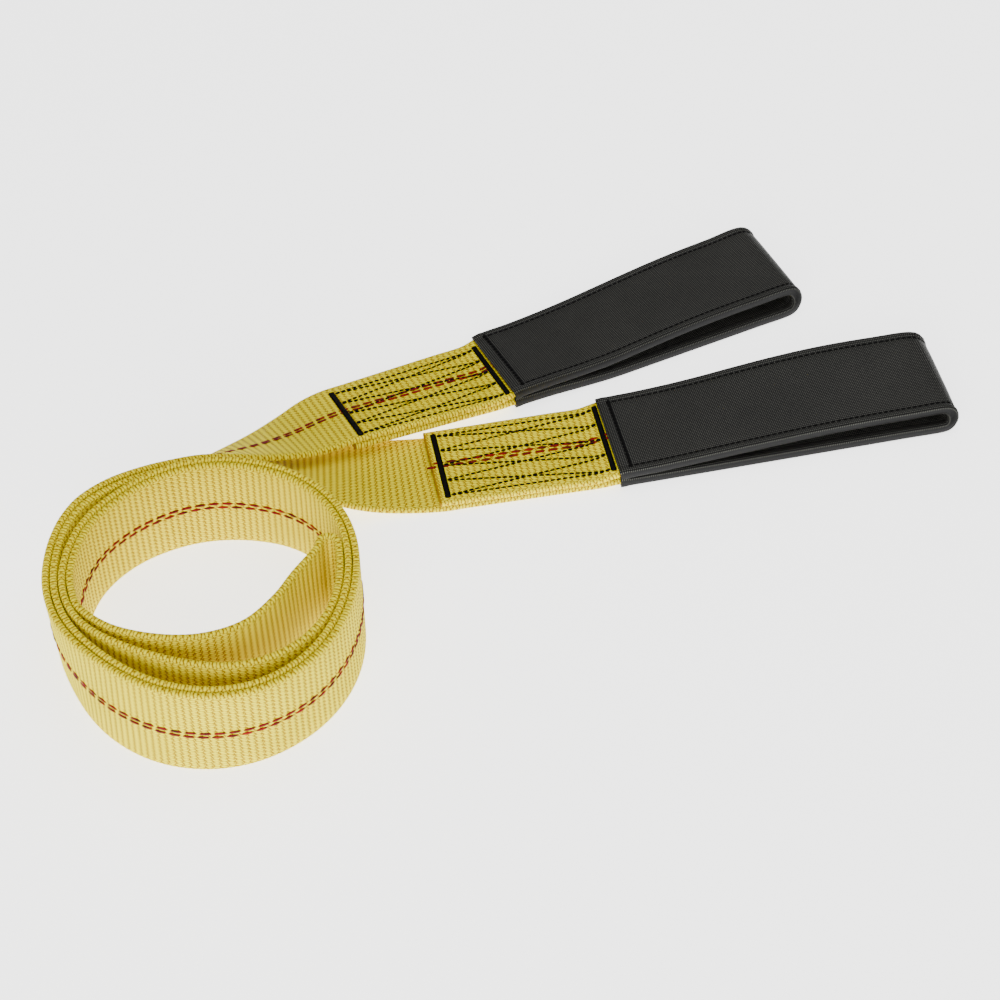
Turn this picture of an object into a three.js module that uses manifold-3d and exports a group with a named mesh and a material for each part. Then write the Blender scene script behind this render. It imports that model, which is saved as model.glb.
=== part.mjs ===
// Flat eye-and-eye lifting sling: one length of woven webbing with a sewn eye and a wear sleeve
// at each end. It is folded in half, coiled on its edge, and its two ends lie out to the right.
// Millimetres and degrees, +Z up. It rests on the floor at z = 0.
import * as THREE from 'three';
import Module from 'manifold-3d';
import { mergeVertices } from 'three/addons/utils/BufferGeometryUtils.js';

const wasm = await Module();
wasm.setup();

// Webbing
const webWidth = 50;
const webThick = 3.3;
const selvedge = 0.9; // rounding of the woven edge
const layerGap = 0.4; // air left between layers that lie on each other

// Splice and eye at each end
const spliceLength = 91;
const partFrom = 11; // the two layers part over this length before the splice's end
const partTo = 1; // and are clear of each other this far beyond it
const legsParted = 0.75; // share of the eye's length over which its legs reach their full spread

// Wear sleeve
const sleeveWall = 0.7;
const sleeveFit = 0.3; // clearance between webbing and sleeve

// Splice stitching
const threadWidth = 0.9;
const threadHeight = 0.6;
const barWidth = 2.2;
const threadLift = 0.3; // clearance between thread and webbing
const stitchMargin = 4.5; // from the stitching to the webbing's edges
const stitchCutMargin = 4.5; // from the stitching to the strap's cut end
const stitchEyeMargin = 2.5; // from the stitching to the splice's other end
const stitchPiece = 14; // a row bends with the webbing in pieces of about this length
const stitchLanes = 4; // lanes across the webbing that the slanted rows cross

// Coil, angles counted from the right towards the back
const coilRadius = 74;
const exitAngle = 152; // where both ends leave the coil
const bightAngle = 18; // where the fold of the doubled strap lies
const bightRadius = 4.6; // middle of the webbing round that fold
const turnStep = 10;
const foldStep = 45;

// How far the coil's outline swells (or is pressed in) round an angle: [mm, angle, half width]
const outlineSwells = [[2.6, 45, 45], [-1.7, 92, 45], [2.5, 138, 35], [-8.2, 220, 78],
  [1.2, 312, 45]];
// How far the second turn stands off the first: [mm, angle, half width]
const secondTurnSlack = [[2.8, 142, 42], [10.3, 272, 80]];
// How far the coil's foot stands out beyond its top: [mm, angle, half width]
const footSpread = [[-3.4, 92, 45], [-2, 200, 35], [4, 252, 55], [1.5, 345, 40]];
// The innermost run leaves its neighbour on the way to the fold: [angle, mm inwards]
const looseRun = [[200, 0], [220, 2.4], [250, 6.5], [280, 13.2], [310, 20], [340, 21.6], [360, 17.2]];
const tuckFrom = 80; // between these angles the second turn moves in under the first
const tuckTo = 140;

// Ends on their way from standing on edge to lying flat, from the coil outwards, near edge:
// [angle round the coil, distance beyond coilRadius, heading, roll, lift off the floor]
const frontFall = [[142, -3, 52, 87, 0], [130, -3.6, 40, 80, 0], [118, -3.3, 28, 71, 0],
  [106, -1, 24, 61, 0], [94, 2, 19, 51, 0],
  [80, 5.5, 13, 40, 0], [65, 11, 7, 27, 0], [52.5, 22, 4, 13, 0], [45, 38, 6, 3, 0]];
const rearFall = [[142, 0.9, 52, 86, 0], [130, 0.7, 40, 78.5, 0], [118, 1.1, 28, 69, 0],
  [106, 3.7, 25, 59, 0], [93, 8.8, 25, 50, 0],
  [74, 23.4, 25, 31, 0], [66.9, 38.5, 26, 20, 0.6], [63.6, 49.3, 25, 13.5, 2.6]];

// Where each splice starts (as above), its heading and its roll at both ends. Then the eye: how far
// its upper leg turns off the splice, how far its lower leg turns back from that, its length, over
// what length the splice's roll dies out, and for its near and far side the height of the bend
// and how far the upper leg bows up
const frontTail = { start: [37.3, 61.6], heading: 11.3, rolls: [0, -2.6], eyeTurn: 2.7, legTurn: 1,
  eyeLength: 177.4, rollLength: 60, eyeSpread: [9.8, 17.2], eyeBow: [0.8, 1.2] };
const rearTail = { start: [60.6, 58.5], heading: 24.7, rolls: [11.6, 4.6], eyeTurn: 3, legTurn: 1.2,
  eyeLength: 168.7, rollLength: 60, eyeSpread: [12, 16.6], eyeBow: [1.2, -2.2] };

const degrees = THREE.MathUtils.degToRad(1);
const layerStep = webThick + layerGap;
const sleeveShell = sleeveFit + sleeveWall;
const up = new THREE.Vector3(0, 0, 1);

const swell = (list, angle) => list.reduce((sum, [size, at, half]) => {
  const off = Math.abs(THREE.MathUtils.euclideanModulo(angle - at + 180, 360) - 180) / half;
  return off < 1 ? sum + size * Math.cos(off * Math.PI / 2) ** 2 : sum;
}, 0);

// A station of the strap: its near edge and its far edge, both at mid-thickness
const station = (near, across) => ({
  near,
  far: near.clone().addScaledVector(across, webWidth),
});
const headingVector = (heading) => new THREE.Vector3(
  Math.cos(heading * degrees), Math.sin(heading * degrees), 0);
const leftOf = (heading) => headingVector(heading + 90);
const acrossOf = (heading, roll) => leftOf(heading).multiplyScalar(Math.cos(roll * degrees))
  .addScaledVector(up, -Math.sin(roll * degrees));

// Coil: radius of the outer run (first and second turn) at mid-thickness
function outerRun(turnAngle) {
  const tuck = THREE.MathUtils.smoothstep(turnAngle, 360 + tuckFrom, 360 + tuckTo);
  const slack = turnAngle > 360 + tuckFrom ? swell(secondTurnSlack, turnAngle) : 0;
  return coilRadius + swell(outlineSwells, turnAngle) - webThick / 2 - 2 * layerStep * tuck - slack;
}
function onEdge(turnAngle, radius) {
  const out = headingVector(turnAngle);
  const spread = swell(footSpread, turnAngle);
  const top = out.clone().multiplyScalar(radius - spread / 2).setZ(webWidth);
  return station(top, out.multiplyScalar(spread / webWidth).sub(up));
}

// The inner run follows the outer one and then drifts away from it towards the fold
function innerRunStations() {
  const list = [];
  const looseFrom = looseRun[0][0] + 360;
  for (let angle = exitAngle; angle < looseFrom; angle += turnStep) {
    list.push(onEdge(angle, outerRun(angle) - layerStep));
  }
  looseRun.forEach(([angle, drift]) => {
    list.push(onEdge(angle + 360, outerRun(angle + 360) - layerStep - drift));
  });
  return list;
}
function outerRunStations() {
  const list = [];
  for (let angle = exitAngle; angle < bightAngle + 720; angle += turnStep) {
    list.push(onEdge(angle, outerRun(angle)));
  }
  return list.reverse();
}
function bightStations() {
  const outer = outerRun(bightAngle + 720);
  const list = [];
  for (let turn = 180; turn >= 0; turn -= foldStep) {
    const radius = outer - bightRadius + bightRadius * Math.cos(turn * degrees);
    const along = bightRadius * Math.sin(turn * degrees);
    const at = onEdge(bightAngle, radius);
    const push = leftOf(bightAngle).multiplyScalar(along);
    at.near.add(push);
    at.far.add(push);
    list.push(at);
  }
  return list;
}

// Ends between the coil and their splice
const beyondCoil = (angle, beyond) => headingVector(angle).multiplyScalar(coilRadius + beyond);
const fallStations = (list) => list.map(([angle, beyond, heading, roll, lift]) => {
  const farHeight = webThick / 2 * Math.cos(roll * degrees) + lift;
  const nearHeight = farHeight + webWidth * Math.sin(roll * degrees);
  return station(beyondCoil(angle, beyond).setZ(nearHeight), acrossOf(heading, roll));
});

// A station of a tail at a distance along it, in a layer that lies at height "level" over the
// floor layer. In the eye, "back" is how far its leg turns back from the upper one
const partStart = spliceLength - partFrom;
const partEnd = spliceLength + partTo;
function tailStation(tail, along, level, back = 0) {
  const { lerp, smoothstep } = THREE.MathUtils;
  const inEye = Math.max(along - spliceLength, 0);
  const roll = lerp(...tail.rolls, Math.min(along / spliceLength, 1))
    * (1 - smoothstep(inEye, 0, tail.rollLength));
  const turned = smoothstep(along, partStart, spliceLength + partFrom);
  const heading = tail.heading + (tail.eyeTurn - back) * turned;
  const lift = up.clone().multiplyScalar(Math.cos(roll * degrees))
    .addScaledVector(leftOf(heading), Math.sin(roll * degrees));
  const near = beyondCoil(...tail.start)
    .addScaledVector(headingVector(tail.heading), along - inEye)
    .addScaledVector(headingVector(heading), inEye);
  near.z = webThick / 2 + webWidth * Math.max(Math.sin(roll * degrees), 0);
  return station(near.addScaledVector(lift, level), acrossOf(heading, roll));
}

// Heights of the two layers over the floor layer
const legsPart = (along) => THREE.MathUtils.smoothstep(along, partStart, partEnd);
const lowerLevel = (along) => sleeveShell * legsPart(along);
function upperLevel(tail, along, side = 0) {
  const intoEye = THREE.MathUtils.clamp((along - spliceLength) / tail.eyeLength, 0, 1);
  const closed = layerStep + 2 * sleeveShell * legsPart(along);
  const spread = (tail.eyeSpread[side] - closed)
    * THREE.MathUtils.smoothstep(intoEye, 0, legsParted);
  return lowerLevel(along) + closed + spread + tail.eyeBow[side] * Math.sin(intoEye * Math.PI);
}

// The eye from the splice's end, round the bend and back underneath. The bend is a cone: it is
// wider at the far side, and reaches as far on both sides
const legSteps = 9;
const bendStep = 30;
function eyeStations(tail) {
  const reach = spliceLength + tail.eyeLength - webThick / 2 - sleeveShell;
  const edges = (placeOf, back) => {
    const [nearSide, farSide] = tail.eyeSpread.map((spread, side) => tailStation(
      tail, ...placeOf(reach - spread / 2, spread / 2, side), back));
    return { near: nearSide.near, far: farSide.far };
  };
  const upperLeg = [];
  const bend = [];
  const lowerLeg = [];
  for (let i = 0; i < legSteps; i += 1) {
    const alongLeg = (leg) => THREE.MathUtils.lerp(partEnd, leg, i / legSteps);
    upperLeg.push(edges((leg, radius, side) => [alongLeg(leg),
      upperLevel(tail, alongLeg(leg), side)], 0));
    lowerLeg.push(edges((leg) => [alongLeg(leg), lowerLevel(alongLeg(leg))], tail.legTurn));
  }
  for (let turn = 90; turn >= -90; turn -= bendStep) {
    const [out, rise] = [Math.cos(turn * degrees), 1 + Math.sin(turn * degrees)];
    bend.push(edges((leg, radius) => [leg + radius * out, lowerLevel(leg) + radius * rise],
      tail.legTurn * (1 - rise / 2)));
  }
  return [...upperLeg, ...bend, ...lowerLeg.reverse()];
}
// The splice's two layers, between the cut end and the sleeve
const spliceSteps = [0, 0.15, 0.4, 0.7, 0.88, 0.95];
const spliceLayer = (tail, isTop) => spliceSteps.map((share) => {
  const along = share * spliceLength;
  return tailStation(tail, along, isTop ? upperLevel(tail, along) : lowerLevel(along));
});

// Sections: points [across, thickness] round the webbing, and the same grown by a margin
function webSection(margin) {
  const half = webWidth / 2 + margin;
  const thick = webThick / 2 + margin;
  return [[half, thick - selvedge], [half - selvedge, thick], [selvedge - half, thick],
    [-half, thick - selvedge], [-half, selvedge - thick], [selvedge - half, -thick],
    [half - selvedge, -thick], [half, selvedge - thick]];
}

// Frames along the strap, for its section: the centre, the way to the far edge and the normal
const subSteps = 2;
function framesAlong(stations) {
  const nearCurve = new THREE.CatmullRomCurve3(stations.map((s) => s.near));
  const farCurve = new THREE.CatmullRomCurve3(stations.map((s) => s.far));
  const count = (stations.length - 1) * subSteps;
  const edges = [];
  for (let i = 0; i <= count; i += 1) {
    const near = nearCurve.getPoint(i / count);
    const far = farCurve.getPoint(i / count);
    edges.push({ centre: near.clone().lerp(far, 0.5), across: far.sub(near).normalize() });
  }
  return edges.map(({ centre, across }, i) => {
    const ahead = edges[Math.min(i + 1, count)].centre;
    const behind = edges[Math.max(i - 1, 0)].centre;
    const tangent = ahead.clone().sub(behind).normalize();
    return { centre, side: across, normal: tangent.cross(across).normalize() };
  });
}
const placeRing = (frame, section) => section.map(([a, b]) => frame.centre.clone()
  .addScaledVector(frame.side, a).addScaledVector(frame.normal, b));

// Closed sweep of a section, with an optional bore of the same path, capped at both ends
function sweep(frames, outer, bore) {
  const loops = bore ? [outer, bore] : [outer];
  const vertices = [];
  const triangles = [];
  const ringSize = loops.reduce((sum, loop) => sum + loop.length, 0);
  frames.forEach((frame) => loops.forEach((loop) => vertices.push(...placeRing(frame, loop))));
  let offset = 0;
  loops.forEach((loop, isBore) => {
    for (let ring = 0; ring < frames.length - 1; ring += 1) {
      for (let i = 0; i < loop.length; i += 1) {
        const a = ring * ringSize + offset + i;
        const b = ring * ringSize + offset + (i + 1) % loop.length;
        const quad = [a, b, b + ringSize, a, b + ringSize, a + ringSize];
        triangles.push(...(isBore ? quad.reverse() : quad));
      }
    }
    offset += loop.length;
  });
  const flat = loops.map((loop) => loop.map(([a, b]) => new THREE.Vector2(a, b)));
  const last = (frames.length - 1) * ringSize;
  const clockwise = THREE.ShapeUtils.isClockWise(flat[0]);
  THREE.ShapeUtils.triangulateShape(flat[0], flat.slice(1)).forEach(([a, b, c]) => {
    const [start, end] = clockwise ? [[a, b, c], [a, c, b]] : [[a, c, b], [a, b, c]];
    triangles.push(...start, ...end.map((v) => v + last));
  });
  const geometry = new THREE.BufferGeometry().setFromPoints(vertices);
  geometry.setIndex(triangles);
  return geometry;
}

// Joins and cuts need one closed solid with shared vertices
function solidOf(geometry) {
  const bare = geometry.clone();
  bare.deleteAttribute('normal');
  bare.deleteAttribute('uv');
  const merged = mergeVertices(bare);
  return new wasm.Manifold(new wasm.Mesh({
    numProp: 3,
    vertProperties: new Float32Array(merged.attributes.position.array),
    triVerts: new Uint32Array(merged.index.array),
  }));
}
function geometryOf(solid) {
  const mesh = solid.getMesh();
  const geometry = new THREE.BufferGeometry();
  geometry.setAttribute('position', new THREE.BufferAttribute(mesh.vertProperties, 3));
  geometry.setIndex(new THREE.BufferAttribute(mesh.triVerts, 1));
  return geometry;
}

// Stitching of a splice: slanted rows between two bars, laid on the top layer
function stitching(tail) {
  const firstBar = stitchCutMargin;
  const lastBar = spliceLength - stitchEyeMargin;
  const lane = (webWidth - 2 * stitchMargin) / stitchLanes;
  const across = (step) => stitchMargin + lane * step;
  const strip = (x0, y0, x1, y1, width) => {
    const length = Math.hypot(x1 - x0, y1 - y0);
    const pieces = Math.max(Math.round(length / stitchPiece), 1);
    return new THREE.BoxGeometry(length, width, threadHeight, pieces, 1, 1)
      .rotateZ(Math.atan2(y1 - y0, x1 - x0))
      .translate((x0 + x1) / 2, (y0 + y1) / 2, webThick / 2 + threadLift + threadHeight / 2);
  };
  const strips = [firstBar, lastBar].map((x) => strip(
    x, across(0) - threadWidth, x, across(stitchLanes) + threadWidth, barWidth));
  for (let step = 0; step <= stitchLanes; step += 1) {
    const next = Math.min(step + 1, stitchLanes);
    const previous = Math.max(step - 1, 0);
    strips.push(strip(firstBar, across(step), lastBar, across(next), threadWidth));
    strips.push(strip(firstBar, across(step), lastBar, across(previous), threadWidth));
  }
  return geometryOf(strips.map((flat) => solidOf(laidOn(tail, flat)))
    .reduce((all, next) => all.add(next)));
}
function laidOn(tail, flat) {
  const places = flat.attributes.position;
  const point = new THREE.Vector3();
  for (let i = 0; i < places.count; i += 1) {
    point.fromBufferAttribute(places, i);
    const { near, far } = tailStation(tail, point.x, upperLevel(tail, point.x) + point.z);
    near.lerp(far, point.y / webWidth);
    places.setXYZ(i, near.x, near.y, near.z);
  }
  return flat;
}

// Webbing: front splice and eye, into the coil, round the fold, out again, rear eye and splice
const frontEye = eyeStations(frontTail);
const rearEye = eyeStations(rearTail);
const strapFrames = framesAlong([
  ...spliceLayer(frontTail, true),
  ...frontEye,
  ...spliceLayer(frontTail, false).reverse(),
  ...fallStations(frontFall).reverse(),
  ...innerRunStations(),
  ...bightStations(),
  ...outerRunStations(),
  ...fallStations(rearFall),
  ...spliceLayer(rearTail, true),
  ...rearEye,
  ...spliceLayer(rearTail, false).reverse(),
]);
const webbing = () => sweep(strapFrames, webSection(0));

// Sleeves: tubes round both legs and the bend of each eye, along the webbing inside them
const sleeve = (frames) => sweep(frames, webSection(sleeveShell), webSection(sleeveFit));
const beforeEye = spliceSteps.length * subSteps;
const frontSleeve = () => sleeve(strapFrames.slice(beforeEye,
  beforeEye + (frontEye.length - 1) * subSteps + 1));
const rearSleeve = () => sleeve(strapFrames.slice(
  -beforeEye - (rearEye.length - 1) * subSteps - 1, -beforeEye));

const webMaterial = () => new THREE.MeshStandardMaterial(
  { color: '#d9c02c', roughness: 0.62, metalness: 0 });
const sleeveMaterial = () => new THREE.MeshStandardMaterial(
  { color: '#2b2c2b', roughness: 0.55, metalness: 0 });
const threadMaterial = () => new THREE.MeshStandardMaterial(
  { color: '#141414', roughness: 0.6, metalness: 0 });

const pieces = [
  ['webbing', webbing(), webMaterial()],
  ['eye_sleeve_front', frontSleeve(), sleeveMaterial()],
  ['eye_sleeve_rear', rearSleeve(), sleeveMaterial()],
  ['splice_stitching_front', stitching(frontTail), threadMaterial()],
  ['splice_stitching_rear', stitching(rearTail), threadMaterial()],
];

// Origin under the middle of the whole sling
const group = new THREE.Group();
pieces.forEach(([name, geometry, material]) => {
  const mesh = new THREE.Mesh(geometry, material);
  mesh.name = name;
  group.add(mesh);
});
const whole = new THREE.Box3().setFromObject(group);
const middle = whole.getCenter(new THREE.Vector3());
group.position.set(-middle.x, -middle.y, -whole.min.z);

export default group;
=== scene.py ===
# A woven lifting sling, coiled on its edge, with two sleeved eyes lying out to the right.
# The strap's path is worked out as in the CAD, in millimetres from the coil's centre; meshes are in metres.
import math

import bpy
import numpy as np
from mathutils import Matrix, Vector


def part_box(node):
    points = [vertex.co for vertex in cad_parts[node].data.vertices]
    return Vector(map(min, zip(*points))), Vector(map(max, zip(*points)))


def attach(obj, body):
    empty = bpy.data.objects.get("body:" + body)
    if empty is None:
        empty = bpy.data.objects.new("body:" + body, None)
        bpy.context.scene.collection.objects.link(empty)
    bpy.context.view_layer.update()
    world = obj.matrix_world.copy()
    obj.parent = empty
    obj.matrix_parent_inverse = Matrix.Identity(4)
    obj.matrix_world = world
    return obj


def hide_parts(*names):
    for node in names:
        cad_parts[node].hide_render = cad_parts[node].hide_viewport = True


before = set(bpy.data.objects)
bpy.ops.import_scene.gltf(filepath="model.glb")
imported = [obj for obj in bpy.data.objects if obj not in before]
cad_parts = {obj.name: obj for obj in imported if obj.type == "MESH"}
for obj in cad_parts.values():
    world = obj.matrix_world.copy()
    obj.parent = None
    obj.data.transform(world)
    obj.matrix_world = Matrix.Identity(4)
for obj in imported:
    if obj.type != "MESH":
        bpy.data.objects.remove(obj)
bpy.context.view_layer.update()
mm = 0.001
print("frame loaded")


def srgb(hexColour):
    # a hex colour as seen on a screen, to the linear values that shaders use
    parts = [int(hexColour[i:i + 2], 16) / 255 for i in (1, 3, 5)]
    return [c / 12.92 if c <= 0.04045 else ((c + 0.055) / 1.055) ** 2.4 for c in parts] + [1.0]


def addNode(tree, kind, settings=None, **links):
    # one node; settings are its properties or inputs by name, links are its inputs by name or _number
    node = tree.nodes.new(kind)
    for name, value in (settings or {}).items():
        if hasattr(node, name):
            setattr(node, name, value)
        else:
            node.inputs[name].default_value = value
    for name, source in links.items():
        key = int(name[1:]) if name.startswith("_") else name.replace("_", " ")
        if isinstance(source, bpy.types.NodeSocket):
            tree.links.new(source, node.inputs[key])
        else:
            node.inputs[key].default_value = source
    return node


def calc(tree, operation, first, second=0.0, third=0.0):
    # one step of arithmetic on numbers or sockets
    node = addNode(tree, "ShaderNodeMath", {"operation": operation}, _0=first, _1=second, _2=third)
    return node.outputs[0]


# the strap's path: sizes and angles as in the CAD
strap = {
    "webWidth": 50.0, "webThick": 3.3, "layerGap": 0.4,
    "spliceLength": 91.0, "partFrom": 11.0, "partTo": 1.0, "legsParted": 0.75,
    "sleeveWall": 0.7, "sleeveFit": 0.3,
}
coil = {
    "radius": 74.0, "exitAngle": 152, "bightAngle": 18, "bightRadius": 4.6, "turnStep": 10,
    "outlineSwells": [(2.6, 45, 45), (-1.7, 92, 45), (2.5, 138, 35), (-8.2, 220, 78), (1.2, 312, 45)],
    "secondTurnSlack": [(2.8, 142, 42), (10.3, 272, 80)],
    "footSpread": [(-3.4, 92, 45), (-2, 200, 35), (4, 252, 55), (1.5, 345, 40)],
    "looseRun": [(200, 0), (220, 2.4), (250, 6.5), (280, 13.2), (310, 20), (340, 21.6), (360, 17.2)],
    "tuckFrom": 80, "tuckTo": 140,
}
# ends between coil and splice: angle round the coil, distance beyond its radius, heading, roll, lift
frontEnd = {
    "fall": [(142, -3, 52, 87, 0), (130, -3.6, 40, 80, 0), (118, -3.3, 28, 71, 0), (106, -1, 24, 61, 0),
             (94, 2, 19, 51, 0), (80, 5.5, 13, 40, 0), (65, 11, 7, 27, 0), (52.5, 22, 4, 13, 0),
             (45, 38, 6, 3, 0)],
    "start": (37.3, 61.6), "heading": 11.3, "rolls": (0, -2.6), "eyeTurn": 2.7, "legTurn": 1.0,
    "eyeLength": 177.4, "rollLength": 60.0, "eyeSpread": (9.8, 17.2), "eyeBow": (0.8, 1.2),
}
rearEnd = {
    "fall": [(142, 0.9, 52, 86, 0), (130, 0.7, 40, 78.5, 0), (118, 1.1, 28, 69, 0), (106, 3.7, 25, 59, 0),
             (93, 8.8, 25, 50, 0), (74, 23.4, 25, 31, 0), (66.9, 38.5, 26, 20, 0.6),
             (63.6, 49.3, 25, 13.5, 2.6)],
    "start": (60.6, 58.5), "heading": 24.7, "rolls": (11.6, 4.6), "eyeTurn": 3.0, "legTurn": 1.2,
    "eyeLength": 168.7, "rollLength": 60.0, "eyeSpread": (12.0, 16.6), "eyeBow": (1.2, -2.2),
}
layerStep = strap["webThick"] + strap["layerGap"]
sleeveShell = strap["sleeveFit"] + strap["sleeveWall"]
up = np.array((0.0, 0.0, 1.0))


def smoothstep(x, low, high):
    t = min(max((x - low) / (high - low), 0.0), 1.0)
    return t * t * (3 - 2 * t)


def mix(a, b, share):
    return a + (b - a) * share


def headingVector(heading):
    return np.array((math.cos(math.radians(heading)), math.sin(math.radians(heading)), 0.0))


def swell(swells, angle):
    total = 0.0
    for size, at, half in swells:
        off = abs((angle - at + 180) % 360 - 180) / half
        if off < 1:
            total += size * math.cos(off * math.pi / 2) ** 2
    return total


def station(near, across):
    return near, near + across * strap["webWidth"]


def acrossOf(heading, roll):
    return headingVector(heading + 90) * math.cos(math.radians(roll)) - up * math.sin(math.radians(roll))


def beyondCoil(angle, beyond):
    return headingVector(angle) * (coil["radius"] + beyond)


def outerRun(turnAngle):
    # radius of the outer layer at mid-thickness, first and second turn
    tuck = smoothstep(turnAngle, 360 + coil["tuckFrom"], 360 + coil["tuckTo"])
    slack = swell(coil["secondTurnSlack"], turnAngle) if turnAngle > 360 + coil["tuckFrom"] else 0
    outline = coil["radius"] + swell(coil["outlineSwells"], turnAngle)
    return outline - strap["webThick"] / 2 - 2 * layerStep * tuck - slack


def onEdge(turnAngle, radius):
    out = headingVector(turnAngle)
    spread = swell(coil["footSpread"], turnAngle)
    return station(out * (radius - spread / 2) + up * strap["webWidth"],
                   out * (spread / strap["webWidth"]) - up)


def innerRunStations():
    loose = coil["looseRun"]
    angles = range(coil["exitAngle"], loose[0][0] + 360, coil["turnStep"])
    return ([onEdge(a, outerRun(a) - layerStep) for a in angles]
            + [onEdge(a + 360, outerRun(a + 360) - layerStep - drift) for a, drift in loose])


def outerRunStations():
    angles = range(coil["exitAngle"], coil["bightAngle"] + 720, coil["turnStep"])
    return [onEdge(a, outerRun(a)) for a in angles][::-1]


def bightStations():
    outer = outerRun(coil["bightAngle"] + 720)
    bend = coil["bightRadius"]
    stations = []
    for turn in range(180, -1, -45):
        near, far = onEdge(coil["bightAngle"], outer - bend + bend * math.cos(math.radians(turn)))
        push = headingVector(coil["bightAngle"] + 90) * bend * math.sin(math.radians(turn))
        stations.append((near + push, far + push))
    return stations


def fallStations(end):
    stations = []
    for angle, beyond, heading, roll, lift in end["fall"]:
        farHeight = strap["webThick"] / 2 * math.cos(math.radians(roll)) + lift
        height = farHeight + strap["webWidth"] * math.sin(math.radians(roll))
        stations.append(station(beyondCoil(angle, beyond) + up * height, acrossOf(heading, roll)))
    return stations


partStart = strap["spliceLength"] - strap["partFrom"]
partEnd = strap["spliceLength"] + strap["partTo"]


def tailStation(end, along, level, back=0.0):
    # a layer of a tail, at a height over the floor layer; in the eye its leg turns back from the upper one
    splice = strap["spliceLength"]
    inEye = max(along - splice, 0)
    roll = mix(*end["rolls"], min(along / splice, 1)) * (1 - smoothstep(inEye, 0, end["rollLength"]))
    turned = smoothstep(along, partStart, splice + strap["partFrom"])
    heading = end["heading"] + (end["eyeTurn"] - back) * turned
    tilt = math.radians(roll)
    lift = up * math.cos(tilt) + headingVector(heading + 90) * math.sin(tilt)
    near = beyondCoil(*end["start"]) + headingVector(end["heading"]) * (along - inEye)
    near = near + headingVector(heading) * inEye
    near[2] = strap["webThick"] / 2 + strap["webWidth"] * max(math.sin(tilt), 0)
    return station(near + lift * level, acrossOf(heading, roll))


def lowerLevel(end, along):
    return sleeveShell * smoothstep(along, partStart, partEnd)


def upperLevel(end, along, side=0):
    intoEye = min(max((along - strap["spliceLength"]) / end["eyeLength"], 0), 1)
    closed = layerStep + 2 * lowerLevel(end, along)
    spread = (end["eyeSpread"][side] - closed) * smoothstep(intoEye, 0, strap["legsParted"])
    return lowerLevel(end, along) + closed + spread + end["eyeBow"][side] * math.sin(intoEye * math.pi)


def eyeStations(end, legSteps=9, bendStep=30):
    # upper leg, bend and lower leg; the bend is a cone, wider at the far side
    reach = strap["spliceLength"] + end["eyeLength"] - strap["webThick"] / 2 - sleeveShell

    def edges(placeOf, back):
        places = [placeOf(reach - spread / 2, spread / 2, side)
                  for side, spread in enumerate(end["eyeSpread"])]
        nearSide, farSide = [tailStation(end, *at, back) for at in places]
        return nearSide[0], farSide[1]

    upper, bend, lower = [], [], []
    for i in range(legSteps):
        upper.append(edges(lambda leg, radius, side: (
            mix(partEnd, leg, i / legSteps), upperLevel(end, mix(partEnd, leg, i / legSteps), side)), 0))
        lower.append(edges(lambda leg, radius, side: (
            mix(partEnd, leg, i / legSteps), lowerLevel(end, mix(partEnd, leg, i / legSteps))),
            end["legTurn"]))
    for turn in range(90, -91, -bendStep):
        out, rise = math.cos(math.radians(turn)), 1 + math.sin(math.radians(turn))
        bend.append(edges(lambda leg, radius, side: (
            leg + radius * out, lowerLevel(end, leg) + radius * rise), end["legTurn"] * (1 - rise / 2)))
    return upper + bend + lower[::-1]


spliceShares = (0, 0.15, 0.4, 0.7, 0.88, 0.95)


def spliceLayer(end, levelOf):
    return [tailStation(end, s * strap["spliceLength"], levelOf(end, s * strap["spliceLength"]))
            for s in spliceShares]


def smoothCurve(points, subSteps):
    # centripetal curve through the points, as in the CAD
    points = np.array(points)
    padded = np.vstack([2 * points[0] - points[1], points, 2 * points[-1] - points[-2]])
    result = []
    for i in range(1, len(padded) - 2):
        x0, x1, x2, x3 = padded[i - 1:i + 3]
        gaps = [max(np.linalg.norm(b - a), 1e-6) ** 0.5 for a, b in ((x0, x1), (x1, x2), (x2, x3))]
        d0, d1, d2 = gaps
        t1 = ((x1 - x0) / d0 - (x2 - x0) / (d0 + d1) + (x2 - x1) / d1) * d1
        t2 = ((x2 - x1) / d1 - (x3 - x1) / (d1 + d2) + (x3 - x2) / d2) * d1
        for t in np.arange(subSteps) / subSteps:
            result.append(x1 + t1 * t + (-3 * x1 + 3 * x2 - 2 * t1 - t2) * t ** 2
                          + (2 * x1 - 2 * x2 + t1 + t2) * t ** 3)
    return np.array(result + [points[-1]])


def unit(vectors):
    return vectors / np.linalg.norm(vectors, axis=-1, keepdims=True)


def pathAlong(stations, spacing, finer=8):
    # evenly spaced rings: centre, side (near edge to far edge) and outward normal
    near = smoothCurve([s[0] for s in stations], finer)
    far = smoothCurve([s[1] for s in stations], finer)
    centre = (near + far) / 2
    run = np.concatenate([[0], np.cumsum(np.linalg.norm(np.diff(centre, axis=0), axis=1))])
    count = int(round(run[-1] / spacing))
    along = np.linspace(0, run[-1], count + 1)
    centre = np.stack([np.interp(along, run, centre[:, k]) for k in range(3)], axis=1)
    side = unit(np.stack([np.interp(along, run, (far - near)[:, k]) for k in range(3)], axis=1))
    direction = unit(np.gradient(centre, axis=0))
    return {"centre": centre, "side": side, "normal": unit(np.cross(direction, side)),
            "along": along, "stationAlong": run[::finer]}


def allStations():
    return (spliceLayer(frontEnd, upperLevel) + eyeStations(frontEnd)
            + spliceLayer(frontEnd, lowerLevel)[::-1] + fallStations(frontEnd)[::-1]
            + innerRunStations() + bightStations() + outerRunStations() + fallStations(rearEnd)
            + spliceLayer(rearEnd, upperLevel) + eyeStations(rearEnd)
            + spliceLayer(rearEnd, lowerLevel)[::-1])


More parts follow.
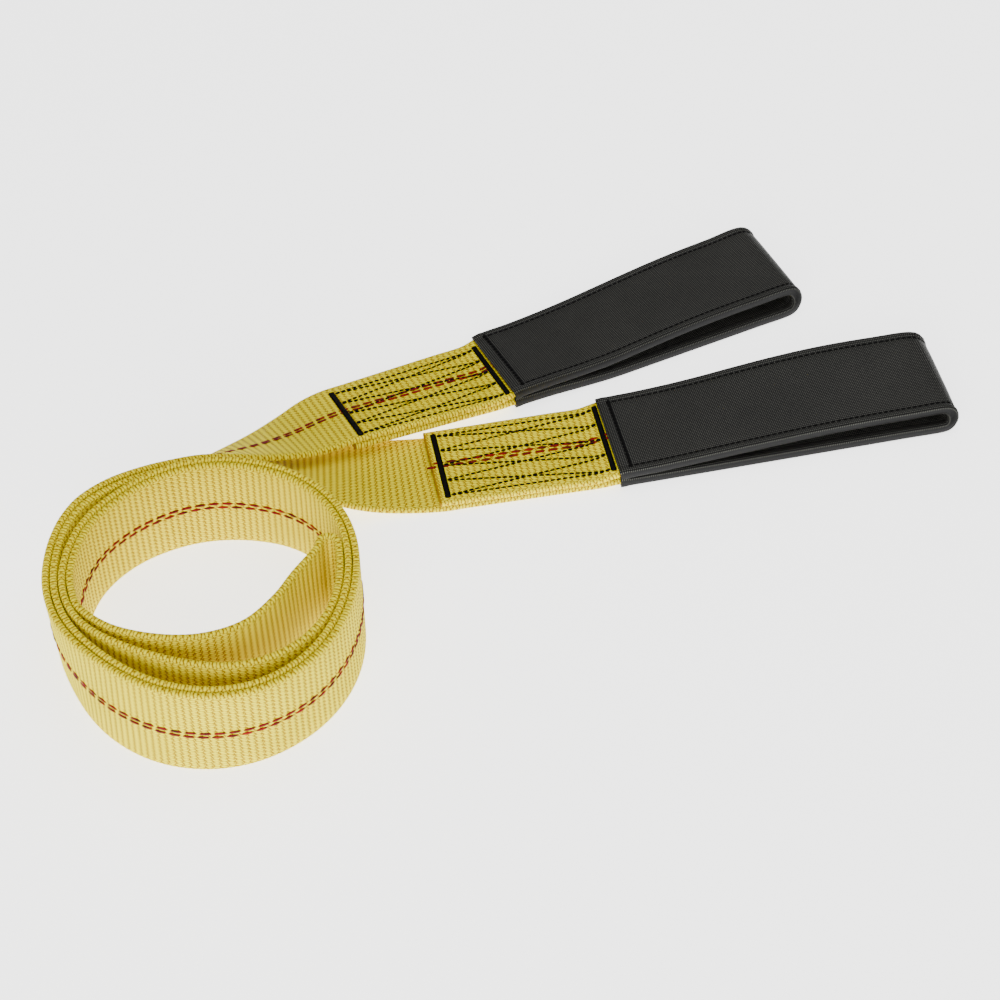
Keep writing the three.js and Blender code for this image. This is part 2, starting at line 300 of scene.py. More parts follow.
ringSpacing = 0.65  # five rings to a rib
webPath = pathAlong(allStations(), ringSpacing)
halfBody = np.array((strap["webWidth"], strap["webThick"])) / 2


def pathBox(path):
    corners = [path["centre"] + a * halfBody[0] * path["side"] + b * halfBody[1] * path["normal"]
               for a in (-1, 1) for b in (-1, 1)]
    return np.min(corners, axis=(0, 1)), np.max(corners, axis=(0, 1))


# the CAD centres the whole sling over its origin, so its webbing's box gives the shift
cadLow, cadHigh = (np.array(corner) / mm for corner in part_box("webbing"))
ownLow, ownHigh = pathBox(webPath)
shift = (cadLow + cadHigh - ownLow - ownHigh) / 2
shift[2] = cadHigh[2] - ownHigh[2]
strapLength = webPath["along"][-1]
print("path", round(strapLength), "mm, shift", np.round(shift, 2), "fit",
      np.round(cadHigh - cadLow - ownHigh + ownLow, 2))


def place(points):
    return (np.asarray(points) + shift) * mm


# camera, as the photograph was taken
camera = {"aim": (137.0, 91.0, 0.0), "distance": 1137.64, "elevation": 47.253, "lens": 82.8}


def makeCamera():
    data = bpy.data.cameras.new("camera")
    data.lens = camera["lens"]
    data.sensor_width = 36
    tilt = math.radians(camera["elevation"])
    back = np.array((0, -math.cos(tilt), math.sin(tilt))) * camera["distance"]
    eye = bpy.data.objects.new("camera", data)
    eye.location = Vector(place(np.array(camera["aim"]) + back))
    eye.rotation_euler = (math.pi / 2 - tilt, 0, 0)
    data.clip_start = 0.01
    bpy.context.scene.collection.objects.link(eye)
    bpy.context.scene.camera = eye


makeCamera()
print("camera set")


def roundedSection(halfWidth, halfThick, corner, acrossSteps, cornerSteps):
    # points round a flat section, from the far edge's upper corner over the top to the near edge
    points = []
    corners = [(1, 1, 0), (-1, 1, 90), (-1, -1, 180), (1, -1, 270)]
    for sx, sy, begin in corners:
        cx, cy = sx * (halfWidth - corner), sy * (halfThick - corner)
        for i in range(cornerSteps + 1):
            turn = math.radians(begin + 90 * i / cornerSteps)
            points.append((cx + corner * math.cos(turn), cy + corner * math.sin(turn)))
        if sx == sy:
            span = -2 * sx * (halfWidth - corner)
            points += [(cx + span * i / acrossSteps, sy * halfThick) for i in range(1, acrossSteps)]
    return np.array(points)


def ringPoints(path, section):
    return (path["centre"][:, None] + section[None, :, :1] * path["side"][:, None]
            + section[None, :, 1:] * path["normal"][:, None])


def tubeFaces(rings, size, offset=0, stride=None, flip=False):
    stride = stride or size
    ring, i = np.meshgrid(np.arange(rings - 1), np.arange(size), indexing="ij")
    a = ring * stride + offset + i
    b = ring * stride + offset + (i + 1) % size
    faces = np.stack([a, b, b + stride, a + stride], axis=-1).reshape(-1, 4)
    return (faces[:, ::-1] if flip else faces).tolist()


def makeMesh(name, points, faces, smooth=True):
    mesh = bpy.data.meshes.new(name)
    mesh.from_pydata(place(points).tolist(), [], faces)
    mesh.polygons.foreach_set("use_smooth", [smooth] * len(mesh.polygons))
    made = bpy.data.objects.new(name, mesh)
    bpy.context.scene.collection.objects.link(made)
    return made


def addAttribute(piece, name, values, kind="FLOAT"):
    values = np.asarray(values, dtype=float)
    attribute = piece.data.attributes.new(name, kind, "POINT")
    attribute.data.foreach_set("vector" if kind == "FLOAT_VECTOR" else "value", values.ravel())


def bakeNodes(piece, tree, inputs):
    # the node tree's result as a plain mesh
    modifier = piece.modifiers.new("nodes", "NODES")
    modifier.node_group = tree
    for item in tree.interface.items_tree:
        if item.item_type == "SOCKET" and item.in_out == "INPUT" and item.name in inputs:
            modifier[item.identifier] = inputs[item.name]
    evaluated = piece.evaluated_get(bpy.context.evaluated_depsgraph_get())
    mesh = bpy.data.meshes.new_from_object(evaluated)
    piece.modifiers.remove(modifier)
    old = piece.data
    piece.data = mesh
    bpy.data.meshes.remove(old)
    mesh.name = piece.name
    return piece


def newTree(name, sizes):
    # a geometry tree with named inputs for its sizes, in metres
    tree = bpy.data.node_groups.new(name, "GeometryNodeTree")
    tree.interface.new_socket("Geometry", in_out="INPUT", socket_type="NodeSocketGeometry")
    tree.interface.new_socket("Geometry", in_out="OUTPUT", socket_type="NodeSocketGeometry")
    for size, value in sizes.items():
        kind = "NodeSocketMaterial" if value is None else "NodeSocketFloat"
        socket = tree.interface.new_socket(size, in_out="INPUT", socket_type=kind)
        if value is not None:
            socket.default_value = value
    return tree, addNode(tree, "NodeGroupInput").outputs


def endTree(tree, geometry, material):
    real = addNode(tree, "GeometryNodeRealizeInstances", None, Geometry=geometry)
    painted = addNode(tree, "GeometryNodeSetMaterial", None, Geometry=real.outputs[0], Material=material)
    output = addNode(tree, "NodeGroupOutput")
    tree.links.new(painted.outputs[0], output.inputs[0])
    return tree


def newMaterial(name, roughness, specular=0.5):
    material = bpy.data.materials.new(name)
    material.use_nodes = True
    tree = material.node_tree
    shader = tree.nodes["Principled BSDF"]
    shader.inputs["Roughness"].default_value = roughness
    shader.inputs["Specular IOR Level"].default_value = specular
    return material, tree, shader


# two rows of red tracer yarn in the web's middle, a little towards its far edge
tracer = {
    "offset": 0.8, "rowGap": 2.4, "raise": 0.05,
    "dash": {"Pitch": 6.5, "Length": 5.6, "Width": 1.8, "Height": 0.8},
    # the darker red is painted shade for where the yarn dives under the weft
    "paintedDiveShade": "#3c0300", "yarn": "#8f0c00",
}

weave = {
    "ribPitch": 3.25, "ribHeight": 0.2, "yarnPitch": 1.25, "yarnDepth": 0.5,
    "edgeFrom": 23.6, "edgeShare": 0.35,  # distance from the middle, and what is left of the ribs there
    "wander": 0.7, "slant": 0.16, "jag": 0.2, "fuzz": 0.22, "clouding": 0.3,
    # the darkest tone is painted shade in the grooves between the floats, the lightest a painted highlight on
    # the float tops
    "paintedValleyShade": "#8c6800", "shade": "#d0b000", "crown": "#f4de00", "paintedHighlight": "#fff400",
    "sealed": "#a07a08", "sealedLength": 0.7,
}


def webbingMaterial():
    # woven polyester webbing: weft ribs across the strap, covered by short warp floats that catch the light;
    # the colour follows the floats' height, with painted shade down in the grooves and a painted highlight on
    # the float tops
    material, tree, shader = newMaterial("wovenPolyesterYellow", 0.7, specular=0.06)
    uv = addNode(tree, "ShaderNodeUVMap", {"uv_map": "weave"})
    split = addNode(tree, "ShaderNodeSeparateXYZ", None, Vector=uv.outputs[0])
    along, across = split.outputs[0], split.outputs[1]
    # the yarns wander a little, so the rows don't look ruled
    spot = addNode(tree, "ShaderNodeTexCoord")
    drift = addNode(tree, "ShaderNodeTexNoise", {"Scale": 140.0, "Detail": 1.0},
                    Vector=spot.outputs["Object"])
    wander = calc(tree, "MULTIPLY_ADD", drift.outputs[0], weave["wander"], -weave["wander"] / 2)
    ribs = calc(tree, "DIVIDE", along, weave["ribPitch"] * mm)
    # along both edges every weft turn shows, twice as fine as the ribs
    fromMiddle = calc(tree, "ABSOLUTE", calc(tree, "SUBTRACT", across, strap["webWidth"] / 2 * mm))
    edge = calc(tree, "GREATER_THAN", fromMiddle, weave["edgeFrom"] * mm)
    ribs = calc(tree, "MULTIPLY", ribs, calc(tree, "ADD", edge, 1))
    # the floats of neighbouring ribs are staggered by half a yarn, so they run in slanted lines
    odd = calc(tree, "FLOORED_MODULO", calc(tree, "FLOOR", calc(tree, "ADD", ribs, 0.5)), 2)
    yarns = calc(tree, "ADD", calc(tree, "DIVIDE", across, weave["yarnPitch"] * mm), wander)
    yarns = calc(tree, "MULTIPLY_ADD", odd, 0.5, yarns)
    inYarn = calc(tree, "SUBTRACT", calc(tree, "FRACT", yarns), 0.5)
    # every other float sits further along, which makes the grooves between the ribs jagged
    ahead = calc(tree, "FLOORED_MODULO", calc(tree, "FLOOR", yarns), 2)
    ribs = calc(tree, "MULTIPLY_ADD", inYarn, weave["slant"], ribs)
    ribs = calc(tree, "MULTIPLY_ADD", ahead, weave["jag"], ribs)
    inRib = calc(tree, "SUBTRACT", calc(tree, "FRACT", calc(tree, "ADD", ribs, 0.5)), 0.5)
    # a float is an oval bump: high in its middle, low round its rim
    ovalX = calc(tree, "POWER", calc(tree, "ABSOLUTE", calc(tree, "MULTIPLY", inRib, 2)), 2.2)
    ovalY = calc(tree, "POWER", calc(tree, "ABSOLUTE", calc(tree, "MULTIPLY", inYarn, 2)), 2.0)
    rim = calc(tree, "MULTIPLY_ADD", ovalY, 0.7, ovalX)
    height = calc(tree, "MAXIMUM", calc(tree, "SUBTRACT", 1.0, rim), 0.0)
    fine = addNode(tree, "ShaderNodeTexNoise", {"Scale": 1500.0, "Detail": 2.0},
                   Vector=spot.outputs["Object"])
    height = calc(tree, "MULTIPLY", height, 0.85)
    height = calc(tree, "MULTIPLY_ADD", fine.outputs[0], weave["fuzz"], height)
    # the colour ramp paints shade into the low parts of the weave and a highlight onto the float tops
    shade = addNode(tree, "ShaderNodeValToRGB", None, Fac=height)
    ramp = shade.color_ramp
    ramp.elements[0].color = srgb(weave["paintedValleyShade"])
    ramp.elements[0].position = 0.08
    ramp.elements[1].color = srgb(weave["paintedHighlight"])
    ramp.elements[1].position = 1.0
    for at, tone in ((0.3, "shade"), (0.55, "crown")):
        ramp.elements.new(at).color = srgb(weave[tone])
    cloud = addNode(tree, "ShaderNodeTexNoise", {"Scale": 28.0, "Detail": 3.0}, Vector=spot.outputs["Object"])
    tint = addNode(tree, "ShaderNodeHueSaturation", None, Color=shade.outputs[0],
                   Value=calc(tree, "MULTIPLY_ADD", cloud.outputs[0], weave["clouding"],
                              1 - weave["clouding"] / 2))
    # both cut ends are heat-sealed, which leaves a brown glassy strip
    fromEnd = calc(tree, "MINIMUM", along, calc(tree, "SUBTRACT", strapLength * mm, along))
    melted = addNode(tree, "ShaderNodeMix", {"data_type": "RGBA"},
                     Factor=calc(tree, "LESS_THAN", fromEnd, weave["sealedLength"] * mm))
    tree.links.new(tint.outputs[0], melted.inputs[6])
    melted.inputs[7].default_value = srgb(weave["sealed"])
    tree.links.new(melted.outputs[2], shader.inputs["Base Color"])
    bump = addNode(tree, "ShaderNodeBump", {"Strength": 0.9, "Distance": weave["yarnDepth"] * mm},
                   Height=height)
    tree.links.new(bump.outputs[0], shader.inputs["Normal"])
    return material


def tracerMaterial():
    # dyed polyester tracer yarn: deep red, with darker painted shade in random noise patches for where it
    # dives under the weft
    material, tree, shader = newMaterial("dyedYarnRed", 0.6, specular=0.15)
    spot = addNode(tree, "ShaderNodeTexCoord")
    noise = addNode(tree, "ShaderNodeTexNoise", {"Scale": 260.0, "Detail": 2.0},
                    Vector=spot.outputs["Object"])
    shade = addNode(tree, "ShaderNodeValToRGB", None, Fac=noise.outputs[0])
    shade.color_ramp.elements[0].color = srgb(tracer["paintedDiveShade"])
    shade.color_ramp.elements[0].position = 0.3
    shade.color_ramp.elements[1].color = srgb(tracer["yarn"])
    shade.color_ramp.elements[1].position = 0.7
    tree.links.new(shade.outputs[0], shader.inputs["Base Color"])
    return material


threadLook = {"shade": "#000000", "light": "#060606"}


def threadMaterial():
    # bonded polyester sewing thread: near black with a soft gloss and a fine twist
    material, tree, shader = newMaterial("bondedThreadBlack", 0.6, specular=0.08)
    spot = addNode(tree, "ShaderNodeTexCoord")
    noise = addNode(tree, "ShaderNodeTexNoise", {"Scale": 900.0, "Detail": 2.0},
                    Vector=spot.outputs["Object"])
    shade = addNode(tree, "ShaderNodeValToRGB", None, Fac=noise.outputs[0])
    shade.color_ramp.elements[0].color = srgb(threadLook["shade"])
    shade.color_ramp.elements[1].color = srgb(threadLook["light"])
    tree.links.new(shade.outputs[0], shader.inputs["Base Color"])
    bump = addNode(tree, "ShaderNodeBump", {"Strength": 0.3, "Distance": 0.1 * mm}, Height=noise.outputs[0])
    tree.links.new(bump.outputs[0], shader.inputs["Normal"])
    return material


sleeveLook = {"dotPitch": 1.9, "clouding": 0.5, "body": "#0b0b0a", "dot": "#5c5c56", "shade": "#020202"}


def sleeveMaterial():
    # coated woven sleeve fabric: satin black, with the plain weave's fine slanted dots showing through
    material, tree, shader = newMaterial("coatedWovenBlack", 0.55, specular=0.17)
    uv = addNode(tree, "ShaderNodeUVMap", {"uv_map": "weave"})
    split = addNode(tree, "ShaderNodeSeparateXYZ", None, Vector=uv.outputs[0])
    pitch = sleeveLook["dotPitch"] * mm
    slant = calc(tree, "DIVIDE", calc(tree, "ADD", split.outputs[0], split.outputs[1]), pitch)
    counter = calc(tree, "DIVIDE", calc(tree, "SUBTRACT", split.outputs[0], split.outputs[1]), pitch)
    waveA = calc(tree, "SINE", calc(tree, "MULTIPLY", slant, 2 * math.pi))
    waveB = calc(tree, "SINE", calc(tree, "MULTIPLY", counter, 2 * math.pi))
    dots = calc(tree, "MULTIPLY_ADD", calc(tree, "MULTIPLY", waveA, waveB), 0.5, 0.5)
    shade = addNode(tree, "ShaderNodeValToRGB", None, Fac=dots)
    ramp = shade.color_ramp
    ramp.elements[0].color = srgb(sleeveLook["shade"])
    ramp.elements[0].position = 0.25
    ramp.elements[1].color = srgb(sleeveLook["dot"])
    ramp.elements[1].position = 0.95
    ramp.elements.new(0.62).color = srgb(sleeveLook["body"])
    spot = addNode(tree, "ShaderNodeTexCoord")
    cloud = addNode(tree, "ShaderNodeTexNoise", {"Scale": 35.0, "Detail": 4.0}, Vector=spot.outputs["Object"])
    tint = addNode(tree, "ShaderNodeHueSaturation", None, Color=shade.outputs[0],
                   Value=calc(tree, "MULTIPLY_ADD", cloud.outputs[0], sleeveLook["clouding"],
                              1 - sleeveLook["clouding"] / 2))
    tree.links.new(tint.outputs[0], shader.inputs["Base Color"])
    bump = addNode(tree, "ShaderNodeBump", {"Strength": 0.5, "Distance": 0.15 * mm}, Height=dots)
    tree.links.new(bump.outputs[0], shader.inputs["Normal"])
    return material


finishes = {"web": webbingMaterial(), "tracer": tracerMaterial(), "thread": threadMaterial(),
            "sleeve": sleeveMaterial()}
print("materials made")


webbingSizes = {"edgeRound": 1.2, "acrossSteps": 6, "cornerSteps": 2}


def ribTree():
    # ribs along the strap: the surface sinks between them, so the CAD's size stays the outer one
    tree, given = newTree("weftRibs", {"Rib pitch": 0.003, "Rib height": 0.0005, "Material": None})
    along = addNode(tree, "GeometryNodeInputNamedAttribute", {"data_type": "FLOAT", "Name": "along"})
    turns = calc(tree, "DIVIDE", along.outputs[0], given["Rib pitch"])
    wave = calc(tree, "COSINE", calc(tree, "MULTIPLY", turns, 2 * math.pi))
    groove = calc(tree, "POWER", calc(tree, "MULTIPLY_ADD", wave, -0.5, 0.5), 2.0)
    share = addNode(tree, "GeometryNodeInputNamedAttribute", {"data_type": "FLOAT", "Name": "ribShare"})
    depth = calc(tree, "MULTIPLY", calc(tree, "MULTIPLY", groove, share.outputs[0]), given["Rib height"])
    normal = addNode(tree, "GeometryNodeInputNormal")
    push = addNode(tree, "ShaderNodeVectorMath", {"operation": "SCALE"}, _0=normal.outputs[0])
    tree.links.new(calc(tree, "MULTIPLY", depth, -1.0), push.inputs["Scale"])
    moved = addNode(tree, "GeometryNodeSetPosition", None, Geometry=given["Geometry"], Offset=push.outputs[0])
    return endTree(tree, moved.outputs[0], given["Material"])


def makeWebbing():
    sizes = webbingSizes
    section = roundedSection(*halfBody, sizes["edgeRound"], sizes["acrossSteps"], sizes["cornerSteps"])
    points = ringPoints(webPath, section)
    rings, size = points.shape[:2]
    faces = tubeFaces(rings, size)
    faces.append(list(range(size))[::-1])
    faces.append(list(range((rings - 1) * size, rings * size)))
    piece = makeMesh("webbingCloth", points.reshape(-1, 3), faces)
    along = np.repeat(webPath["along"], size) * mm
    across = np.tile(section[:, 0] + strap["webWidth"] / 2, rings) * mm
    addAttribute(piece, "along", along)
    # the ribs are shallower round the edges
    flat = np.abs(section[:, 0]) < weave["edgeFrom"]
    addAttribute(piece, "ribShare", np.tile(np.where(flat, 1.0, weave["edgeShare"]), rings))
    uv = piece.data.uv_layers.new(name="weave")
    corners = np.zeros(len(piece.data.loops), dtype=int)
    piece.data.loops.foreach_get("vertex_index", corners)
    uv.data.foreach_set("uv", np.stack([along[corners], across[corners]], axis=1).ravel())
    bakeNodes(piece, ribTree(), {"Rib pitch": weave["ribPitch"] * mm, "Rib height": weave["ribHeight"] * mm,
                                 "Material": finishes["web"]})
    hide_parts("webbing")
    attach(piece, "root")
    return piece


webbing = makeWebbing()
print("webbing made", len(webbing.data.polygons), "faces")


def dashTree():
    # one flattened stitch at every pitch of the lines, lying along them
    tree, given = newTree("dashesAlongLines", {"Pitch": 0.003, "Length": 0.002, "Width": 0.0008,
                                               "Height": 0.0005, "Material": None})
    curve = addNode(tree, "GeometryNodeMeshToCurve", None, Mesh=given["Geometry"])
    spaced = addNode(tree, "GeometryNodeResampleCurve", {"mode": "LENGTH"}, Curve=curve.outputs[0],
                     Length=given["Pitch"])
    shape = addNode(tree, "GeometryNodeMeshUVSphere", {"Segments": 8, "Rings": 5, "Radius": 0.5})
    size = addNode(tree, "ShaderNodeCombineXYZ", None, X=given["Length"], Y=given["Width"], Z=given["Height"])
    sized = addNode(tree, "GeometryNodeTransform", None, Geometry=shape.outputs[0], Scale=size.outputs[0])
    soft = addNode(tree, "GeometryNodeSetShadeSmooth", None, Geometry=sized.outputs[0])
    tangent = addNode(tree, "GeometryNodeInputTangent")
    outward = addNode(tree, "GeometryNodeInputNamedAttribute",
                      {"data_type": "FLOAT_VECTOR", "Name": "outward"})
    lain = addNode(tree, "FunctionNodeAlignRotationToVector", {"axis": "X"}, Vector=tangent.outputs[0])
    faced = addNode(tree, "FunctionNodeAlignRotationToVector", {"axis": "Z", "pivot_axis": "X"},
                    Rotation=lain.outputs[0], Vector=outward.outputs[0])
    copies = addNode(tree, "GeometryNodeInstanceOnPoints", None, Points=spaced.outputs[0],
                     Instance=soft.outputs[0], Rotation=faced.outputs[0])
    return endTree(tree, copies.outputs[0], given["Material"])


dashes = dashTree()


def makeDashes(name, lines, sizes, material):
    # lines: lists of (point, outward) along which the dashes lie
    points, edges, outwards = [], [], []
    for line in lines:
        first = len(points)
        points += [p for p, n in line]
        outwards += [n for p, n in line]
        edges += [(i, i + 1) for i in range(first, len(points) - 1)]
    mesh = bpy.data.meshes.new(name)
    mesh.from_pydata(place(points).tolist(), edges, [])
    piece = bpy.data.objects.new(name, mesh)
    bpy.context.scene.collection.objects.link(piece)
    addAttribute(piece, "outward", outwards, "FLOAT_VECTOR")
    inputs = {label: value * mm for label, value in sizes.items()}
    bakeNodes(piece, dashes, inputs | {"Material": material})
    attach(piece, "root")
    return piece


def onWeb(index, across, lift):
    # a point on the marked face: across from mid-width, lift above the face
    centre, side, normal = (webPath[key][index] for key in ("centre", "side", "normal"))
    return centre + side * across + normal * (strap["webThick"] / 2 + lift), normal


# where each sleeve begins and ends along the strap
eyeStationCount = len(eyeStations(frontEnd))
sleeveFirst = len(spliceShares)
stationAlong = webPath["stationAlong"]
sleeveRanges = {
    "Front": (stationAlong[sleeveFirst], stationAlong[sleeveFirst + eyeStationCount - 1]),
    "Rear": (stationAlong[-sleeveFirst - eyeStationCount], stationAlong[-sleeveFirst - 1]),
}


def makeTracer():
    # the tracer shows wherever the web isn't inside a sleeve; its rows are staggered by half a pitch
    along = webPath["along"]
    shows = np.ones(len(along), dtype=bool)
    for first, last in sleeveRanges.values():
        shows &= (along < first - 2) | (along > last + 2)
    shown = np.flatnonzero(shows)
    runs = np.split(shown, np.flatnonzero(np.diff(shown) > 1) + 1)
    lines = []
    for row, skip in ((-0.5, 0.0), (0.5, tracer["dash"]["Pitch"] / 2)):
        across = tracer["offset"] + row * tracer["rowGap"]
        for run in runs:
            inRun = run[along[run] - along[run[0]] >= skip]
            lines.append([onWeb(i, across, tracer["raise"]) for i in inRun])
    piece = makeDashes("tracerYarn", lines, tracer["dash"], finishes["tracer"])
    return piece


tracerYarn = makeTracer()
print("tracer made", len(tracerYarn.data.polygons), "faces")


seams = {
    "margins": {"Front": (4.5, 4.5), "Rear": (2.9, 7.0)},  # from the near and from the far edge
    "cutMargin": 4.5, "eyeMargin": {"Front": 3.0, "Rear": 6.0}, "lanes": 4, "lift": 0.2, "barReach": 1,
    "row": {"Pitch": 3.0, "Length": 2.6, "Width": 1.05, "Height": 0.9},
    "bar": {"Pitch": 0.6, "Length": 0.95, "Width": 3.2, "Height": 1.4},
}


def onSplice(end, along, across, lift):
    # a point on the splice's top layer, and the way out of it
    near, far = tailStation(end, along, upperLevel(end, along) + strap["webThick"] / 2 + lift)
    below = tailStation(end, along, upperLevel(end, along))[0]
    return near + (far - near) * across / strap["webWidth"], unit(near - below)


def seamLine(end, start, finish, steps=12):
    line = []
    for i in range(steps + 1):
        along, across = mix(start[0], finish[0], i / steps), mix(start[1], finish[1], i / steps)
        line.append(onSplice(end, along, across, seams["lift"]))
    return line


def makeSpliceStitching(side, end):
    near, far = seams["margins"][side]
    lane = (strap["webWidth"] - near - far) / seams["lanes"]
    first, last = seams["cutMargin"], strap["spliceLength"] - seams["eyeMargin"][side]
    rows = []
    for step in range(seams["lanes"] + 1):
        for other in (min(step + 1, seams["lanes"]), max(step - 1, 0)):
            rows.append(seamLine(end, (first, near + lane * step), (last, near + lane * other)))
    rowPiece = makeDashes("spliceRows" + side, rows, seams["row"], finishes["thread"])
    # the bars are satin stitches lying side by side, each across its bar
    reach = seams["barReach"]
    bars = [seamLine(end, (at, near - reach), (at, strap["webWidth"] - far + reach)) for at in (first, last)]
    barPiece = makeDashes("spliceBars" + side, bars, seams["bar"], finishes["thread"])
    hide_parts("splice_stitching_" + side.lower())
    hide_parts("splice_stitching_" + side.lower())
    return rowPiece, barPiece


stitching = [makeSpliceStitching(side, end) for side, end in (("Front", frontEnd), ("Rear", rearEnd))]
print("splice stitching made")


sleeveSizes = {
    "ringStep": 3, "across": (6, 12, 17, 19.6, 20.8, 21.6, 22.4, 23.4), "cornerSteps": 3, "edgeRound": 1.7,
    "edgeSeam": 21.6, "seamDepth": 0.42, "seamWidth": 1.1,
    "rimFrom": 0.8, "rimRun": 1.2, "rimRise": 0.35,  # the rolled rim, counted from the seam outwards
    "mouthEarlier": {"Front": 1.5, "Rear": 4.5},  # the soft mouth laps over the splice's end
    "hem": 4.5, "hemRise": 0.3, "hemSeam": 5.2, "hemSeamDepth": 0.3, "hemSeamWidth": 1.0,
    "pucker": 0.16, "puckerPitch": 17.0, "puckerInset": 3, "threadShows": 0.1, "hemPoints": 17,
    "topstitch": {"Pitch": 3.1, "Length": 2.8, "Width": 0.95, "Height": 0.7},
    "hemStitch": {"Pitch": 2.4, "Length": 3.5, "Width": 1.9, "Height": 1.0},
}


def sleeveSection(margin):
    # flat tube section with extra points beside the seams, so they can sink in
    half, thick = halfBody + margin
    corner = sleeveSizes["edgeRound"]
    flats = sleeveSizes["across"]
    top = [*flats[::-1], 0, *(-a for a in flats)]
    points = []
    for sx, sy, begin in ((1, 1, 0), (-1, 1, 90), (-1, -1, 180), (1, -1, 270)):
        for i in range(sleeveSizes["cornerSteps"] + 1):
            turn = math.radians(begin + 90 * i / sleeveSizes["cornerSteps"])
            points.append((sx * (half - corner) + corner * math.cos(turn),
                           sy * (thick - corner) + corner * math.sin(turn)))
        if sx == sy:
            points += [(sy * a, sy * thick) for a in top]
    return np.array(points)


def pathSlice(first, last, step):
    # part of the strap's path, thinned out; both end rings are kept
    along = webPath["along"]
    chosen = np.flatnonzero((along >= first) & (along <= last))
    chosen = np.unique(np.concatenate([chosen[::step], chosen[-1:]]))
    part = {key: webPath[key][chosen] for key in ("centre", "side", "normal", "along")}
    part["along"] = part["along"] - part["along"][0]
    return part


def makeSleeve(side):
    sizes = sleeveSizes
    first, last = sleeveRanges[side]
    earlier = sizes["mouthEarlier"][side]
    path = pathSlice(first - earlier, last + earlier, sizes["ringStep"])
    length = path["along"][-1]
    outer, bore = sleeveSection(sleeveShell), sleeveSection(strap["sleeveFit"])
    skin, inner = ringPoints(path, outer), ringPoints(path, bore)
    # the skin sinks in at its seams, swells between a seam and the edge, is thicker at the hems and puckers
    fromEnd = np.minimum(path["along"], length - path["along"])
    x = np.abs(outer[:, 0])
    seam = np.exp(-((x - sizes["edgeSeam"]) / sizes["seamWidth"]) ** 2)
    rim = np.clip((x - sizes["edgeSeam"] - sizes["rimFrom"]) / sizes["rimRun"], 0, 1)
    wave = 0.5 + 0.5 * np.sin(path["along"] / sizes["puckerPitch"] * 2 * math.pi)
    inset = np.exp(-((x - sizes["edgeSeam"] + sizes["puckerInset"]) / sizes["puckerInset"]) ** 2)
    hemSeam = np.exp(-((fromEnd - sizes["hemSeam"]) / sizes["hemSeamWidth"]) ** 2)
    rise = (-sizes["seamDepth"] * seam + sizes["rimRise"] * rim)[None]
    rise = rise - sizes["pucker"] * wave[:, None] * inset[None]
    rise = rise + sizes["hemRise"] * (fromEnd < sizes["hem"])[:, None]
    rise = rise - sizes["hemSeamDepth"] * hemSeam[:, None] * (1 - rim)[None]
    skin = skin + (np.sign(outer[:, 1])[None] * rise)[..., None] * path["normal"][:, None]
    skin[..., 2] = np.maximum(skin[..., 2], -shift[2])  # the lower leg lies flat on the floor
    rings, size = skin.shape[:2]
    stride = 2 * size
    points = np.concatenate([skin, inner], axis=1).reshape(-1, 3)
    faces = tubeFaces(rings, size, 0, stride) + tubeFaces(rings, size, size, stride, flip=True)
    for ring, flip in ((0, False), (rings - 1, True)):
        for i in range(size):
            j = (i + 1) % size
            quad = [ring * stride + k for k in (i, size + i, size + j, j)]
            faces.append(quad[::-1] if flip else quad)
    piece = makeMesh("eyeSleeve" + side, points, faces)
    along = np.repeat(path["along"], stride) * mm
    around = np.tile(np.concatenate([outer[:, 0], bore[:, 0]]), rings) * mm
    uv = piece.data.uv_layers.new(name="weave")
    corners = np.zeros(len(piece.data.loops), dtype=int)
    piece.data.loops.foreach_get("vertex_index", corners)
    uv.data.foreach_set("uv", np.stack([along[corners], around[corners]], axis=1).ravel())
    piece.data.materials.append(finishes["sleeve"])
    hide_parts("eye_sleeve_" + side.lower())
    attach(piece, "root")
    return piece, path


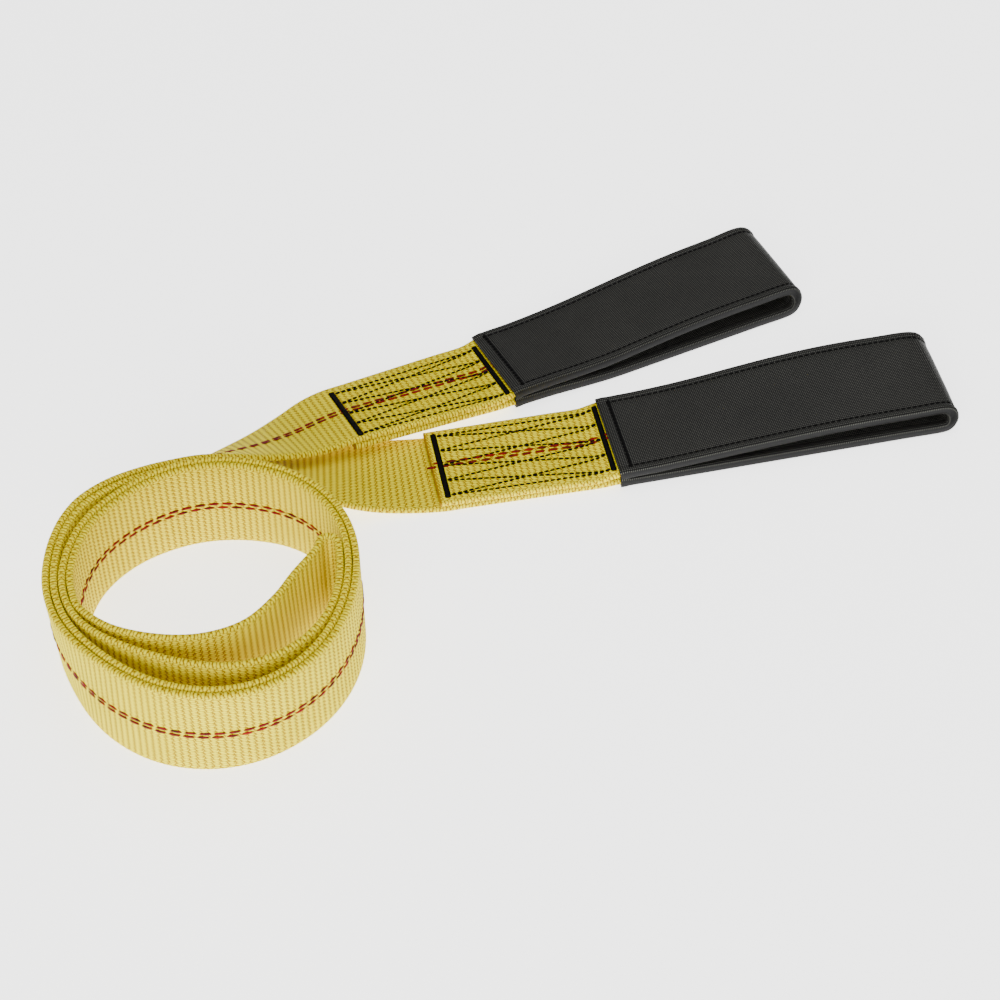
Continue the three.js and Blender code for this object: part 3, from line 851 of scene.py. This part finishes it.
def makeSleeveStitches(side, path):
    sizes = sleeveSizes
    half = halfBody + sleeveShell
    last = path["along"][-1] - sizes["hemSeam"]
    inside = np.flatnonzero((path["along"] >= sizes["hemSeam"]) & (path["along"] <= last))

    def onSleeve(index, across, sunk):
        centre, way, normal = (path[key][index] for key in ("centre", "side", "normal"))
        return centre + way * across + normal * (half[1] - sunk), normal

    shows = sizes["threadShows"]
    edgeSeams = [[onSleeve(i, s * sizes["edgeSeam"], sizes["seamDepth"] - shows) for i in inside]
                 for s in (-1, 1)]
    piece = makeDashes("sleeveTopstitch" + side, edgeSeams, sizes["topstitch"], finishes["thread"])
    acrossHem = np.linspace(-sizes["edgeSeam"], sizes["edgeSeam"], sizes["hemPoints"])
    hems = [[onSleeve(i, a, shows) for a in acrossHem] for i in (inside[0], inside[-1])]
    hem = makeDashes("sleeveHemStitch" + side, hems, sizes["hemStitch"], finishes["thread"])
    return piece, hem


for side in sleeveRanges:
    sleeve, sleevePath = makeSleeve(side)
    makeSleeveStitches(side, sleevePath)
print("sleeves made")


# a white table lit from within, with the main light low in front, as in the photograph
studio = {"floorSize": 20.0, "floor": "#f7f7f6", "floorGlow": 2.4, "world": "#ffffff", "worldStrength": 0.5}


def makeStudio():
    bpy.ops.mesh.primitive_plane_add(size=studio["floorSize"], location=(0, 0, 0))
    floor = bpy.context.object
    floor.name = "studioFloor"
    material, tree, shader = newMaterial("paintedFloor", 0.8)
    shader.inputs["Base Color"].default_value = srgb(studio["floor"])
    shader.inputs["Emission Color"].default_value = srgb(studio["world"])
    shader.inputs["Emission Strength"].default_value = studio["floorGlow"]
    floor.data.materials.append(material)
    world = bpy.data.worlds.new("studio")
    world.use_nodes = True
    background = world.node_tree.nodes["Background"]
    background.inputs["Color"].default_value = srgb(studio["world"])
    background.inputs["Strength"].default_value = studio["worldStrength"]
    bpy.context.scene.world = world


def areaLight(name, power, size, location, aim, colour="#ffffff"):
    data = bpy.data.lights.new(name, "AREA")
    data.energy = power
    data.size = size
    data.color = srgb(colour)[:3]
    lamp = bpy.data.objects.new(name, data)
    lamp.location = location
    lamp.rotation_euler = (Vector(aim) - Vector(location)).to_track_quat("-Z", "Y").to_euler()
    bpy.context.scene.collection.objects.link(lamp)


makeStudio()
areaLight("frontKey", 18, 0.8, (-0.3, -1.35, 0.6), (0, 0, 0.02))
areaLight("topFill", 12, 1.2, (0.3, 0.3, 1.5), (0, 0, 0))
print("studio made")
